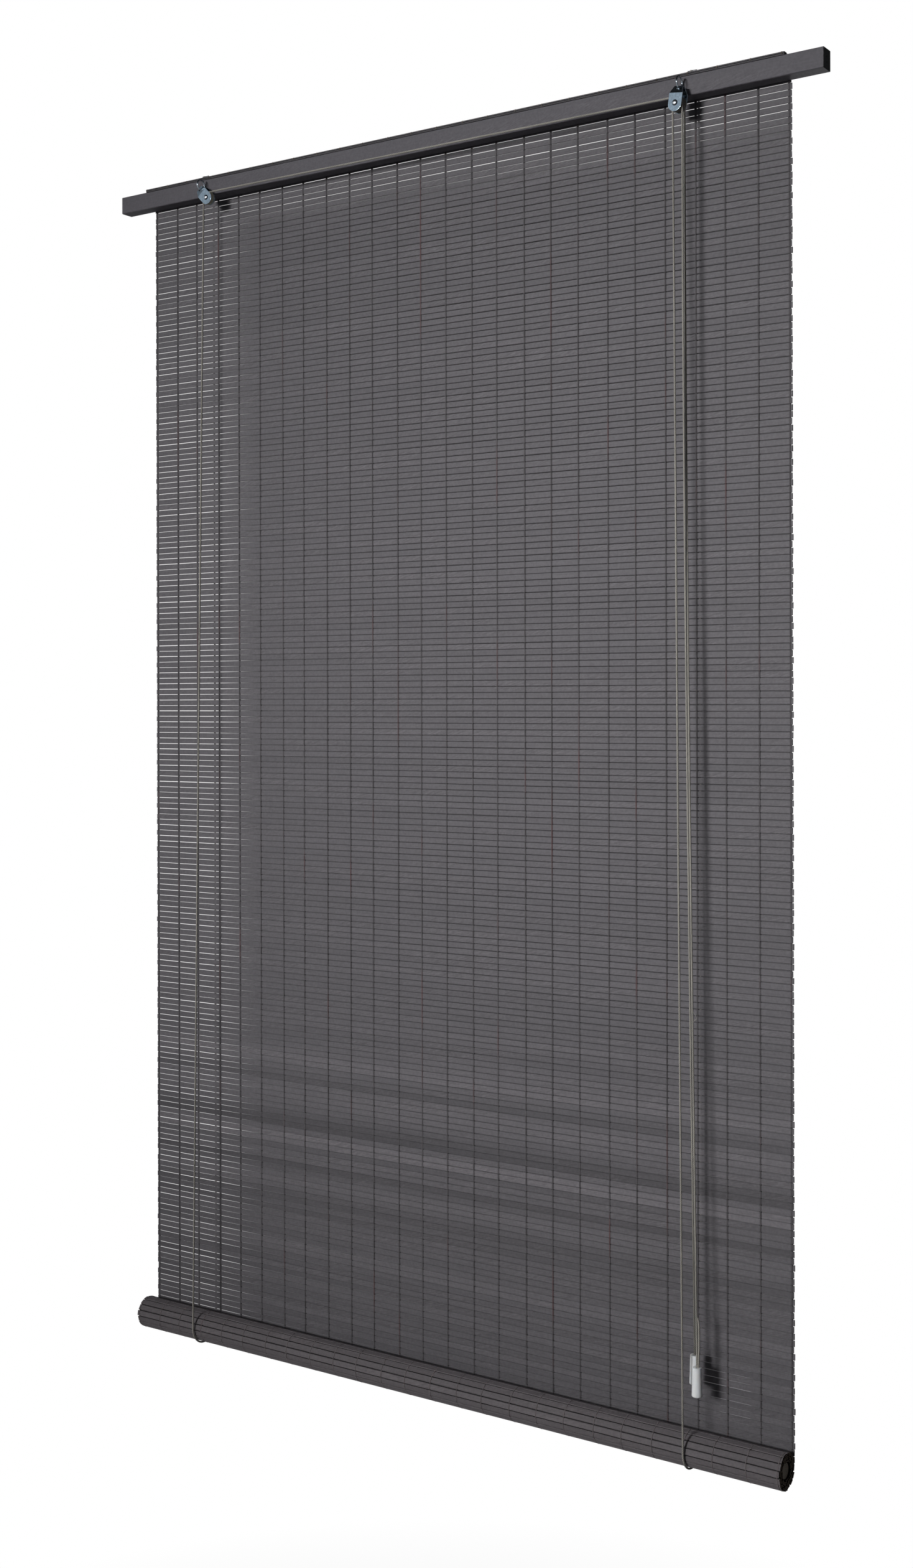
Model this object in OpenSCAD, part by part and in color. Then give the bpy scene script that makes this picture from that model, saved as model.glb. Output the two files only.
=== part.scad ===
// Roll-up slat blind, raised by two cords that sling under the roll.
// Millimetres. X runs along the headrail, the front faces -Y and Z is up.
// The origin is the middle of the headrail's underside.

/* [Headrail] */
// Length of the timber headrail
rail_length = 1096; // [700:1:1600]
// Depth of the headrail, front to back
rail_depth = 20; // [18:0.5:30]
// Height of the headrail
rail_height = 24; // [22:0.5:40]
// Bevel along the headrail's edges
rail_bevel = 0.8; // [0.2:0.1:2]
// Diameter of the two pin holes in the headrail's right end
pin_hole = 1.8; // [1:0.1:3]
// Depth of the pin holes
pin_depth = 4; // [2:0.5:10]

/* [Slats] */
// Length of a slat, which is the width of the mat
mat_width = 1000; // [850:1:1050]
// Number of slats that hang flat between the headrail's top and the roll
hanging_count = 205; // [60:1:260]
// Width of one slat
slat_width = 7.2; // [5:0.1:10]
// Gap between one slat and the next
slat_gap = 0.7; // [0.6:0.05:1.6]
// Thickness of one slat
slat_thickness = 1.75; // [1.4:0.05:2.4]
// Bevel along a slat's edges
slat_bevel = 0.35; // [0.1:0.05:0.6]
// How far a slat's ends stray from the mat's edge
end_stagger = 0.5; // [0:0.1:2]
// Drop from the headrail's top to the first hanging slat
mat_drop = 2.75; // [0:0.05:6]

/* [Weaving threads] */
// Number of thread columns across the mat
thread_columns = 26; // [8:1:40]
// Width of a flattened thread
thread_width = 0.9; // [0.4:0.1:1.6]
// Thickness of a flattened thread
thread_thickness = 0.35; // [0.2:0.05:0.8]
// Distance from the mat's edge to the outer thread columns
thread_margin = 2.5; // [1.5:0.5:20]

/* [Roll] */
// Diameter of the wooden rod that the mat is rolled on
rod_diameter = 18; // [12:0.5:24]
// How far the rod's ends lie inside the roll's ends
rod_inset = 2; // [0:0.5:10]
// Number of turns of mat on the rod
roll_turns = 5.4; // [2:0.1:7]
// Gap between one turn and the next
turn_gap = 0.38; // [0.3:0.02:0.6]
// Gap between the rod and the first turn
rod_fit = 0.35; // [0.3:0.05:0.6]
// Depth of the groove between two slats on the roll
groove_depth = 1.1; // [0.3:0.1:1.2]

/* [Screw eyes] */
// Distance from the headrail's left end to the left screw eye
eye_left_inset = 163.3; // [120:0.1:200]
// Distance from the headrail's right end to the right screw eye
eye_right_inset = 177.2; // [120:0.1:200]
// Height of the screw eyes above the headrail's underside
eye_height = 14; // [10:0.5:16]
// Radius of an eye's ring, to the middle of its wire
eye_radius = 7.2; // [6:0.1:9]
// Diameter of an eye's wire
eye_wire = 2; // [1.6:0.1:2.4]
// Free length of the shank between the headrail and the ring
eye_standoff = 1.5; // [0.5:0.1:4]
// Depth of the screw in the headrail
eye_screw = 12; // [8:0.5:15]

/* [Pulleys] */
// Lean of the left pulley to the right, along the pull of its cord
left_tilt = 45; // [0:1:60]
// Lean of the right pulley to the right
right_tilt = -8; // [-30:1:30]
// Distance from the eye's wire to the pulley's axle
axle_drop = 18; // [16:0.5:24]
// Thickness of the strap
strap_thickness = 1; // [0.6:0.1:1.4]
// Width of the strap's cheek plates
cheek_width = 17.5; // [14:0.5:19]
// Length of a cheek plate above the axle
cheek_above = 11.5; // [10:0.5:13]
// Length of a cheek plate below the axle
cheek_below = 10; // [9:0.5:12]
// Width of the strap where it passes through the eye
crown_width = 11; // [7:0.5:14]
// Length of the strap's flat crown from front to back
crown_length = 4.4; // [3:0.1:5]
// Diameter of a grooved wheel
wheel_diameter = 18.4; // [18:0.2:19.6]
// Width of a grooved wheel
wheel_width = 5.6; // [5.2:0.1:7]
// Radius of the cord's path round a wheel, to the middle of the cord
wheel_path = 7.8; // [7:0.1:8.2]
// Diameter of a pulley's axle
axle_diameter = 4; // [3:0.1:5]
// Diameter of an axle's domed head
head_diameter = 7; // [6:0.1:8]
// Height of an axle's domed head
head_height = 1.8; // [1:0.1:2.4]
// Gap at each side of a wheel
wheel_side_gap = 0.3; // [0.2:0.05:0.6]
// Running gap between a wheel's bore and its axle, on the radius
bore_gap = 0.05; // [0.02:0.01:0.1]

/* [Cords] */
// Diameter of the cords
cord_diameter = 2.6; // [1.6:0.1:2.8]
// Gap between a cord and the part that it runs round
cord_gap = 0.4; // [0.3:0.05:0.5]
// How far the left sling lies outside its screw eye
sling_left_out = 5.8; // [0:0.1:15]
// How far the right sling lies outside its screw eye
sling_right_out = 8.7; // [0:0.1:15]
// Length of the left pull cord, from its wheel to its tassel
pull_left = 1477; // [600:1:1500]
// Length of the right pull cord, from its wheel to its tassel
pull_right = 1487; // [600:1:1500]

/* [Tassels] */
// Diameter of a tassel at its foot
tassel_foot = 12.8; // [11:0.1:14]
// Diameter of a tassel at its top
tassel_top = 10.8; // [10:0.1:14]
// Height of a tassel
tassel_height = 34.5; // [25:0.5:45]
// Wall of a tassel
tassel_wall = 1.4; // [1:0.1:2]
// Rounding at a tassel's foot
tassel_round = 1; // [0.4:0.1:1.3]

/* [Staples] */
// Number of staples that hold the mat to the headrail
staple_count = 9; // [3:1:16]
// Thickness of the staple wire
staple_wire = 0.7; // [0.5:0.05:0.7]
// Depth of a staple's legs in the headrail
staple_depth = 6; // [4:0.5:10]
// Width of the wide staples that hold the cords
cord_staple_width = 12; // [6:0.5:14]

/* [Hidden] */
$fn = 48;
pitch = slat_width + slat_gap;
mat_front = rail_depth / 2 + thread_thickness;
mat_back = mat_front + slat_thickness;
mat_top = rail_height - mat_drop;
mat_bottom = mat_top - hanging_count * pitch + slat_gap;
thread_step = (mat_width - 2 * thread_margin) / (thread_columns - 1);
// heights of the pin holes, as shares of the headrail's height
pin_heights = [0.35, 0.63];
// turn that the golden angle gives from one slat to the next, so the ends look unsorted
stagger_angle = 137.5;

// The spiral of the roll: inner radius at a winding angle in radians, and the angle at a length of mat
turn_pitch = slat_thickness + turn_gap;
spiral_start = rod_diameter / 2 + rod_fit;
spiral_end = 2 * PI * roll_turns;
function spiral_radius(w) = spiral_start + turn_pitch * w / (2 * PI);
function spiral_length(w) = spiral_start * w + turn_pitch * w * w / (4 * PI);
function spiral_angle(s) = (sqrt(spiral_start * spiral_start + turn_pitch * s / PI) - spiral_start)
    * 2 * PI / turn_pitch;
roll_radius = spiral_radius(spiral_end) + slat_thickness;
rolled_slats = floor(spiral_length(spiral_end) / pitch);
flat_slats = floor(2 * PI * roll_radius / pitch);
// The mat leaves the roll at its back, one slat gap below the last hanging slat
roll_y = mat_back - roll_radius;
roll_z = mat_bottom - slat_gap - slat_gap * 2;
leave_angle = asin((mat_bottom - slat_gap - roll_z) / roll_radius);

// The mat's end lies doubled on the headrail's top
fold_front = -rail_depth / 2 - slat_thickness / 3;
fold_lower = rail_height;
fold_upper = fold_lower + slat_thickness + thread_thickness;
fold_top = fold_upper + slat_thickness;

eye_left_x = eye_left_inset - rail_length / 2;
eye_right_x = rail_length / 2 - eye_right_inset;
eye_y = -rail_depth / 2 - eye_standoff - eye_wire / 2 - eye_radius;
swing_z = eye_height - eye_radius;
single_gap = wheel_width + 2 * wheel_side_gap;
double_gap = 2 * wheel_width + 3 * wheel_side_gap;
// crown's underside above the middle of the eye's wire
crown_rise = eye_wire / 2 + 0.6;
eye_hole = eye_wire + 2;
dome_step = 15;

wheel_left = [eye_left_x + axle_drop * sin(left_tilt), eye_y, swing_z - axle_drop * cos(left_tilt)];
wheel_right = [eye_right_x + axle_drop * sin(right_tilt), eye_y, swing_z - axle_drop * cos(right_tilt)];
wheel_offset = (wheel_width + wheel_side_gap) / 2;

sling_left_x = eye_left_x - sling_left_out;
sling_right_x = eye_right_x + sling_right_out;
cord_sides = 8;
cord_r = cord_diameter / 2;
sling_r = roll_radius + cord_gap + cord_r;
sling_step = 10;
wheel_step = 15;
cord_top = fold_top + cord_gap + cord_r;
cord_bend = 3;
// seam between two lengths of one cord
cord_seam = 0.2;
knot_r = 2.6;
tassel_hole = cord_diameter + 0.4;
// How far each tassel hangs to the right of and behind the wheel that its cord leaves
left_sway = [8, 10];
right_sway = [16, -6];
pull_rings = 14;

slat_paint = [0.27, 0.27, 0.29];
thread_grey = [0.33, 0.31, 0.31];
cord_beige = [0.56, 0.54, 0.50];
zinc = [0.66, 0.70, 0.74];
nylon = [0.82, 0.80, 0.72];
rod_wood = [0.32, 0.24, 0.19];

// Rectangle with bevelled corners, from a low corner
module bevelled(width, height, bevel) {
    polygon([[bevel, 0], [width - bevel, 0], [width, bevel], [width, height - bevel],
        [width - bevel, height], [bevel, height], [0, height - bevel], [0, bevel]]);
}

// Extrusion along X, centred, of an outline drawn in Y and Z
module along_x(length) {
    rotate([90, 0, 90])
        linear_extrude(length, center = true)
            children();
}

// Extrusion along Y, centred, of an outline drawn in X and Z
module along_y(length) {
    rotate([90, 0, 0])
        linear_extrude(length, center = true)
            children();
}

// Revolve about Y of an outline drawn in radius and Y
module about_y() {
    rotate([-90, 0, 0])
        rotate_extrude()
            children();
}

function unit(v) = v / norm(v);
function tangent(path, i) = unit(path[min(i + 1, len(path) - 1)] - path[max(i - 1, 0)]);
function ring(centre, along, across, radius) =
    let (u = unit(cross(across, along)), v = cross(along, u))
    [for (k = [0 : cord_sides - 1])
        centre + radius * (cos(360 * k / cord_sides) * u + sin(360 * k / cord_sides) * v)];

// Round tube along a path, with a radius for each point; across is never along the path
module cord_tube(path, across, radii) {
    last = len(path) - 1;
    points = [for (i = [0 : last]) each ring(path[i], tangent(path, i), across, radii[i])];
    sides = [for (i = [0 : last - 1], k = [0 : cord_sides - 1])
        let (a = i * cord_sides, n = (k + 1) % cord_sides)
        [a + k, a + cord_sides + k, a + cord_sides + n, a + n]];
    first_cap = [for (k = [0 : cord_sides - 1]) k];
    last_cap = [for (k = [cord_sides - 1 : -1 : 0]) last * cord_sides + k];
    polyhedron(points, concat([first_cap], sides, [last_cap]));
}

module plain_cord(path, across) {
    cord_tube(path, across, [for (p = path) cord_r]);
}

module headrail() {
    color(slat_paint)
        difference() {
            along_x(rail_length)
                translate([-rail_depth / 2, 0])
                    bevelled(rail_depth, rail_height, rail_bevel);
            for (share = pin_heights)
                translate([rail_length / 2 - pin_depth, 0, share * rail_height])
                    rotate([0, 90, 0])
                        cylinder(d = pin_hole, h = 2 * pin_depth);
        }
}

// The mat's end on the headrail: a lower layer over the whole top, and an upper layer folded back
module top_slats() {
    color(slat_paint)
        for (layer = [0, 1], i = [0 : 2 - layer])
            translate([end_stagger * cos(stagger_angle * (i + 3 * layer)), 0, 0])
                along_x(mat_width)
                    translate([fold_front + i * pitch, layer == 0 ? fold_lower : fold_upper])
                        bevelled(slat_width, slat_thickness, slat_bevel);
}

// Staples over the second folded slat, with their legs in the gaps beside it
module top_staples() {
    reach = slat_width + slat_gap + staple_wire;
    height = fold_top - rail_height + staple_depth;
    start = fold_front + pitch - slat_gap / 2 - staple_wire / 2;
    span = mat_width - 2 * thread_step;
    color(zinc)
        for (i = [0 : staple_count - 1])
            translate([-span / 2 + i * span / (staple_count - 1), start, rail_height - staple_depth])
                along_x(staple_wire)
                    difference() {
                        square([reach, height + staple_wire]);
                        translate([staple_wire, -1])
                            square([reach - 2 * staple_wire, height + 1]);
                    }
}

module hanging_slats() {
    color(slat_paint)
        for (i = [0 : hanging_count - 1])
            translate([end_stagger * sin(stagger_angle * i), 0, mat_top - i * pitch - slat_width])
                along_x(mat_width)
                    translate([mat_front, 0])
                        bevelled(slat_thickness, slat_width, slat_bevel);
}

// One flat strand on each face of the mat at every column
module warp_threads() {
    color(thread_grey)
        for (i = [0 : thread_columns - 1], y = [mat_front - thread_thickness, mat_back])
            translate([-mat_width / 2 + thread_margin + i * thread_step - thread_width / 2, y, mat_bottom])
                cube([thread_width, thread_thickness, mat_top - mat_bottom]);
}

// The rolled mat: one spiral band, notched between slats, whose outermost turn keeps its slats flat
module mat_roll() {
    function at(s, lift) =
        let (w = spiral_angle(s), a = (w - spiral_end) * 180 / PI + leave_angle)
        (spiral_radius(w) + lift) * [cos(a), sin(a)];
    start = spiral_length(spiral_end) - rolled_slats * pitch;
    outside = [for (i = [0 : rolled_slats - 1])
        let (s = start + i * pitch, flat = i >= rolled_slats - flat_slats)
        each concat(
            i == 0 ? [] : [at(s - slat_gap, slat_thickness - groove_depth)],
            i == 0 ? [] : [at(s, slat_thickness - groove_depth)],
            [at(s, slat_thickness)],
            flat ? [] : [at(s + slat_width / 2, slat_thickness)],
            [at(s + slat_width, slat_thickness)])];
    inside = [for (i = [rolled_slats - 1 : -1 : 0])
        let (s = start + i * pitch)
        each [at(s + slat_width, 0), at(s + slat_width / 2, 0), at(s, 0)]];
    color(slat_paint)
        translate([0, roll_y, roll_z])
            along_x(mat_width)
                polygon(concat(outside, inside));
}

module bottom_rod() {
    color(rod_wood)
        translate([0, roll_y, roll_z])
            rotate([0, 90, 0])
                cylinder(d = rod_diameter, h = mat_width - 2 * rod_inset, center = true);
}

module screw_eye(x) {
    tip = eye_wire;
    shank = eye_standoff + eye_wire / 2 + eye_screw;
    translate([x, eye_y, eye_height]) {
        rotate([0, 90, 0])
            rotate_extrude()
                translate([eye_radius, 0])
                    circle(d = eye_wire);
        translate([0, eye_radius, 0])
            about_y()
                polygon([[0, 0], [eye_wire / 2, 0], [eye_wire / 2, shank - tip], [0, shank]]);
    }
}

module screw_eyes() {
    color(zinc) {
        screw_eye(eye_left_x);
        screw_eye(eye_right_x);
    }
}

// A pulley's own frame: the eye's wire passes along Y through the origin, and the axle lies below it
module hung(x, tilt) {
    translate([x, eye_y, swing_z])
        rotate([0, -tilt, 0])
            children();
}

// Strap bent over the eye, with sloping shoulders, two cheek plates and holes for the eye and the axle
module strap(gap) {
    bend_z = cheek_above - axle_drop;
    foot_z = -axle_drop - cheek_below;
    foot_r = cheek_width / 2;
    crown = crown_length / 2;
    inner = gap / 2;
    outer = inner + strap_thickness;
    crown_top = crown_rise + strap_thickness;
    difference() {
        intersection() {
            along_x(cheek_width)
                difference() {
                    polygon([[-outer, foot_z], [outer, foot_z], [outer, bend_z], [crown, crown_top],
                        [-crown, crown_top], [-outer, bend_z]]);
                    polygon([[-inner, foot_z - 1], [inner, foot_z - 1], [inner, bend_z],
                        [crown - strap_thickness / 2, crown_rise], [strap_thickness / 2 - crown, crown_rise],
                        [-inner, bend_z]]);
                }
            along_y(2 * outer)
                union() {
                    polygon([[-foot_r, foot_z + foot_r], [foot_r, foot_z + foot_r], [foot_r, bend_z],
                        [crown_width / 2, crown_top], [-crown_width / 2, crown_top], [-foot_r, bend_z]]);
                    translate([0, foot_z + foot_r])
                        circle(foot_r);
                }
        }
        along_y(2 * outer + 2)
            circle(d = eye_hole);
        translate([0, 0, -axle_drop])
            along_y(2 * outer + 2)
                circle(d = axle_diameter + 2 * bore_gap);
    }
}

module strap_left() {
    color(zinc)
        hung(eye_left_x, left_tilt)
            strap(single_gap);
}

module strap_right() {
    color(zinc)
        hung(eye_right_x, right_tilt)
            strap(double_gap);
}

// Rivet through both cheek plates, with a domed head at each end
module axle(gap) {
    face = gap / 2 + strap_thickness;
    shaft = axle_diameter / 2;
    head = head_diameter / 2;
    dome = [for (a = [0 : dome_step : 90]) [head * cos(a), face + head_height * sin(a)]];
    below = [for (i = [len(dome) - 1 : -1 : 0]) [dome[i][0], -dome[i][1]]];
    translate([0, 0, -axle_drop])
        about_y()
            polygon(concat(below, [[shaft, -face], [shaft, face]], dome));
}

module axle_left() {
    color(zinc)
        hung(eye_left_x, left_tilt)
            axle(single_gap);
}

module axle_right() {
    color(zinc)
        hung(eye_right_x, right_tilt)
            axle(double_gap);
}

// Grooved wheel about Y, at the origin
module wheel() {
    rim = wheel_diameter / 2;
    bore = axle_diameter / 2 + bore_gap;
    groove = cord_r + cord_gap;
    mouth = wheel_width / 2 - 0.6;
    about_y()
        difference() {
            translate([bore, -wheel_width / 2])
                square([rim - bore, wheel_width]);
            translate([wheel_path, 0])
                circle(groove);
            polygon([[wheel_path, -groove], [rim + 1, -mouth], [rim + 1, mouth], [wheel_path, groove]]);
        }
}

module wheel_left() {
    color(nylon)
        translate(wheel_left)
            wheel();
}

module wheel_right_front() {
    color(nylon)
        translate(wheel_right - [0, wheel_offset, 0])
            wheel();
}

module wheel_right_rear() {
    color(nylon)
        translate(wheel_right + [0, wheel_offset, 0])
            wheel();
}

// Cord up the back of the mat, over the folded end and under its staple
module rear_run(x) {
    back_y = roll_y + sling_r;
    bend_y = back_y - cord_bend;
    bend_z = cord_top - cord_bend;
    plain_cord(concat(
        [[x, back_y, roll_z + cord_seam]],
        [for (a = [0 : wheel_step : 90]) [x, bend_y + cord_bend * cos(a), bend_z + cord_bend * sin(a)]],
        [[x, fold_front + slat_width / 2, cord_top]]), [1, 0, 0]);
}

function wheel_point(centre, a) = centre + wheel_path * [cos(a), 0, sin(a)];
function sling_front(x) = [x, roll_y - sling_r, roll_z + cord_seam];

module lift_cord_left() {
    over_right = wheel_right - [0, wheel_offset, 0];
    color(cord_beige) {
        rear_run(sling_left_x);
        plain_cord(concat(
            [sling_front(sling_left_x)],
            [for (a = [180 : -wheel_step : 90]) wheel_point(wheel_left, a)],
            [for (a = [90 : -wheel_step : 0]) wheel_point(over_right, a)]), [0, 1, 0]);
    }
}

module lift_cord_right() {
    over_right = wheel_right + [0, wheel_offset, 0];
    color(cord_beige) {
        rear_run(sling_right_x);
        plain_cord(concat(
            [sling_front(sling_right_x)],
            [for (a = [180 : -wheel_step : 0]) wheel_point(over_right, a)]), [0, 1, 0]);
    }
}

// The part of each lift cord that the roll lies in
module cord_slings() {
    color(cord_beige)
        for (x = [sling_left_x, sling_right_x])
            plain_cord([for (a = [0 : -sling_step : -180])
                [x, roll_y + sling_r * cos(a), roll_z + sling_r * sin(a)]], [1, 0, 0]);
}

function pull_start(side) = wheel_point(wheel_right + [0, side * wheel_offset, 0], 0) - [0, 0, cord_seam];
function pull_path(start, sway, length) =
    concat(
        [for (i = [0 : pull_rings]) let (t = i / pull_rings)
            start + [sway[0] * t * t * (1.6 - 0.6 * t), sway[1] * t * t * (1.6 - 0.6 * t), -length * t]],
        [for (drop = [tassel_wall, tassel_wall + knot_r, tassel_wall + 2 * knot_r])
            start + [sway[0], sway[1], -length - drop]]);
function pull_radii() = concat([for (i = [0 : pull_rings + 1]) cord_r], [knot_r, cord_r]);

module pull_cord_left() {
    color(cord_beige)
        cord_tube(pull_path(pull_start(-1), left_sway, pull_left), [0, 1, 0], pull_radii());
}

module pull_cord_right() {
    color(cord_beige)
        cord_tube(pull_path(pull_start(1), right_sway, pull_right), [0, 1, 0], pull_radii());
}

// Hollow bell, open below, with a hole for the cord in its top
module tassel(start, sway, length) {
    top = tassel_top / 2;
    foot = tassel_foot / 2;
    color("white")
        translate(start + [sway[0], sway[1], -length - tassel_height])
            rotate_extrude()
                polygon([[tassel_hole / 2, tassel_height], [top - tassel_round / 2, tassel_height],
                    [top, tassel_height - tassel_round / 2], [foot, tassel_round], [foot - tassel_round, 0],
                    [foot - tassel_wall, 0], [top - tassel_wall, tassel_height - tassel_wall],
                    [tassel_hole / 2, tassel_height - tassel_wall]]);
}

module tassel_left() {
    tassel(pull_start(-1), left_sway, pull_left);
}

module tassel_right() {
    tassel(pull_start(1), right_sway, pull_right);
}

// Wide staples over the cords' ends, with their legs in the gap behind the front folded slat
module cord_staples() {
    leg_y = fold_front + slat_width + slat_gap / 2;
    low = rail_height - staple_depth;
    high = cord_top + cord_r;
    color(zinc)
        for (x = [sling_left_x, sling_right_x])
            translate([x - cord_staple_width / 2, leg_y, low])
                along_y(staple_wire)
                    difference() {
                        square([cord_staple_width, high + staple_wire - low]);
                        translate([staple_wire, -1])
                            square([cord_staple_width - 2 * staple_wire, high - low + 1]);
                    }
}

headrail();
top_slats();
top_staples();
hanging_slats();
warp_threads();
mat_roll();
bottom_rod();
screw_eyes();
strap_left();
strap_right();
axle_left();
axle_right();
wheel_left();
wheel_right_front();
wheel_right_rear();
lift_cord_left();
lift_cord_right();
cord_slings();
pull_cord_left();
pull_cord_right();
tassel_left();
tassel_right();
cord_staples();
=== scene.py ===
import math

import bpy
import numpy as np
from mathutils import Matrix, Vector


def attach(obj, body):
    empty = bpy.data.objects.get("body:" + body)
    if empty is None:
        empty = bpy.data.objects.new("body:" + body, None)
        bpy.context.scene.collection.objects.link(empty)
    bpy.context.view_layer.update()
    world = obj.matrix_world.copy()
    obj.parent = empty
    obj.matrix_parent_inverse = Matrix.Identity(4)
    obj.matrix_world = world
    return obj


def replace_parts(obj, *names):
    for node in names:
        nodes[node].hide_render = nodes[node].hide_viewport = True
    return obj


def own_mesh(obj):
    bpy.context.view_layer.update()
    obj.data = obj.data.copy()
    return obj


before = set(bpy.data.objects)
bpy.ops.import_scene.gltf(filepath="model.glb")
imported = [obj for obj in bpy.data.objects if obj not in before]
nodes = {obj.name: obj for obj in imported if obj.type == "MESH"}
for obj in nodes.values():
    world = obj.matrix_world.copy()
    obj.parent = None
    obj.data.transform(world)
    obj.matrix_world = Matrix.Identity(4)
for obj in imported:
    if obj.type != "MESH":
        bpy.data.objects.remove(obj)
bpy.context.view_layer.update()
scene = bpy.context.scene
scene.view_settings.view_transform = "Standard"
rng = np.random.default_rng(11)
MM = 0.001

# Camera, fitted to an image of 1468 by 2520 pixels
IMAGE_H = 2520
FOCAL_PX = 2947.5
HORIZON = 1130.13
SENSOR = 36.0
CAMERA_AT = (1.3710, -1.9595, -0.71865)
CAMERA_TURN = (90.0, 0.12, 34.246)

camera_data = bpy.data.cameras.new("camera")
camera_data.sensor_fit = "VERTICAL"
camera_data.sensor_width = SENSOR
camera_data.sensor_height = SENSOR
camera_data.lens = SENSOR * FOCAL_PX / IMAGE_H
camera_data.shift_y = (HORIZON - IMAGE_H / 2) / IMAGE_H
camera_data.clip_start = 0.05
camera_data.clip_end = 60.0
camera = bpy.data.objects.new("camera", camera_data)
scene.collection.objects.link(camera)
camera.location = CAMERA_AT
camera.rotation_euler = [math.radians(a) for a in CAMERA_TURN]
scene.camera = camera

# Mat and headrail, in millimetres, as in the part's source
RAIL_D, RAIL_H = 20.0, 24.0
MAT_W, COUNT, SLAT, GAP, THICK = 1000.0, 205, 7.2, 0.7, 1.75
PITCH = SLAT + GAP
STAGGER, STAGGER_TURN = 0.5, math.radians(137.5)
FRONT = 10.35
BACK = FRONT + THICK
MIDDLE = (FRONT + BACK) / 2
TOP = 21.25
BOTTOM = TOP - COUNT * PITCH + GAP
FOLD_FRONT = -RAIL_D / 2 - THICK / 3
FOLD_LOW, FOLD_GAP = RAIL_H, 0.35
FOLD_HIGH = FOLD_LOW + THICK + FOLD_GAP
FOLD_TOP = FOLD_HIGH + THICK
FOLD_COUNTS = (3, 2)

# Thread columns: even, then drawn sideways by the weaving
COLUMNS, COLUMN_MARGIN = 26, 2.5
COLUMN_DRAW, COLUMN_JITTER, JITTER_TURN = 5.5, 1.2, 2.4
COLUMN_STEP = (MAT_W - 2 * COLUMN_MARGIN) / (COLUMNS - 1)
EVEN_X = [-MAT_W / 2 + COLUMN_MARGIN + i * COLUMN_STEP for i in range(COLUMNS)]
COLUMN_X = [x - COLUMN_DRAW * math.cos(math.pi * x / MAT_W) + COLUMN_JITTER * math.sin(JITTER_TURN * i)
            for i, x in enumerate(EVEN_X)]

# Roll
TURNS, SPIRAL_START, TURN = 5.4, 9.35, 2.13
SPIRAL_END = 2 * math.pi * TURNS
ROLL_R = SPIRAL_START + TURN * TURNS + THICK
ROLL_Y = BACK - ROLL_R
ROLL_Z = BOTTOM - 3 * GAP
LEAVE = math.asin((BOTTOM - GAP - ROLL_Z) / ROLL_R)
ROLLED = SPIRAL_START * SPIRAL_END + TURN * SPIRAL_END ** 2 / (4 * math.pi)
ROLL_COUNT = int(ROLLED // PITCH)
ROLL_FIRST = ROLLED - ROLL_COUNT * PITCH
OUTER_COUNT = int(2 * math.pi * ROLL_R // PITCH)
OUTER_FIRST = ROLL_COUNT - OUTER_COUNT

# Pulleys and cords
EYE_Y, SWING_Z, SWING_R = -19.7, 6.8, 18.0
EYE_LEFT, LEAN_LEFT = -384.7, math.radians(45)
EYE_RIGHT, LEAN_RIGHT = 370.8, math.radians(8)
WHEEL_LEFT = (EYE_LEFT + SWING_R * math.sin(LEAN_LEFT), EYE_Y, SWING_Z - SWING_R * math.cos(LEAN_LEFT))
WHEEL_RIGHT = (EYE_RIGHT - SWING_R * math.sin(LEAN_RIGHT), EYE_Y, SWING_Z - SWING_R * math.cos(LEAN_RIGHT))
WHEEL_PATH, WHEEL_SIDE = 7.8, 2.95
CORD_R, CORD_GAP, CORD_BEND = 1.3, 0.4, 3.0
CORD_GROOVE = 0.14
SLING_X = (-390.5, 379.5)
SLING_R = ROLL_R + CORD_GAP + CORD_R
SLING_TIGHT = 0.8
CORD_TOP = FOLD_TOP + CORD_GAP + CORD_R
FRONT_Y, REAR_Y = ROLL_Y - SLING_R, ROLL_Y + SLING_R
BEND_Z = CORD_TOP - CORD_BEND

# Free cords: side of the right pulley, sway of the lower end, length to the tassel
PULL = {"left": (-1, (8, 10), 1477), "right": (1, (16, -6), 1487)}
PULL_STEPS = 28
IN_TASSEL = 6.6
# Doubled end of the right cord, from the top of its tassel, and a wisp of fibre higher up
TAIL = [(0.6, 0.8, 58), (1.9, 0.6, 52), (2.5, 0.5, 42), (2.4, 0.4, 20), (1.8, 0, -3)]
FIBRE = [(386.9, -20.6, -1082), (390.2, -21, -1086), (391.8, -21, -1090), (388.6, -20.9, -1092),
         (386.9, -20.6, -1095)]
FIBRE_R = 0.22


# Mesh helpers
class Bundle:
    """Points in millimetres, faces and values at the points of many solids that make up one piece."""

    def __init__(self):
        self.points, self.faces, self.values, self.count = [], [], {}, 0

    def add(self, points, faces, **values):
        """One more solid, with each value for all its points or for each of them."""
        self.points.append(points)
        self.faces += [[i + self.count for i in face] for face in faces]
        self.count += len(points)
        for key, value in values.items():
            self.values.setdefault(key, []).append(np.broadcast_to(value, len(points)))

    def piece(self, name, material, body, smooth=True):
        """The object, riding on a body and finished as a material slot."""
        mesh = bpy.data.meshes.new(name)
        mesh.from_pydata((np.concatenate(self.points) * MM).tolist(), [], self.faces)
        mesh.update()
        mesh.polygons.foreach_set("use_smooth", [smooth] * len(mesh.polygons))
        for key, parts in self.values.items():
            attribute = mesh.attributes.new(key, "FLOAT", "POINT")
            attribute.data.foreach_set("value", np.concatenate(parts).astype(np.float32))
        obj = bpy.data.objects.new(name, mesh)
        scene.collection.objects.link(obj)
        mesh.materials.append(material)
        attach(obj, body)
        return obj


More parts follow.
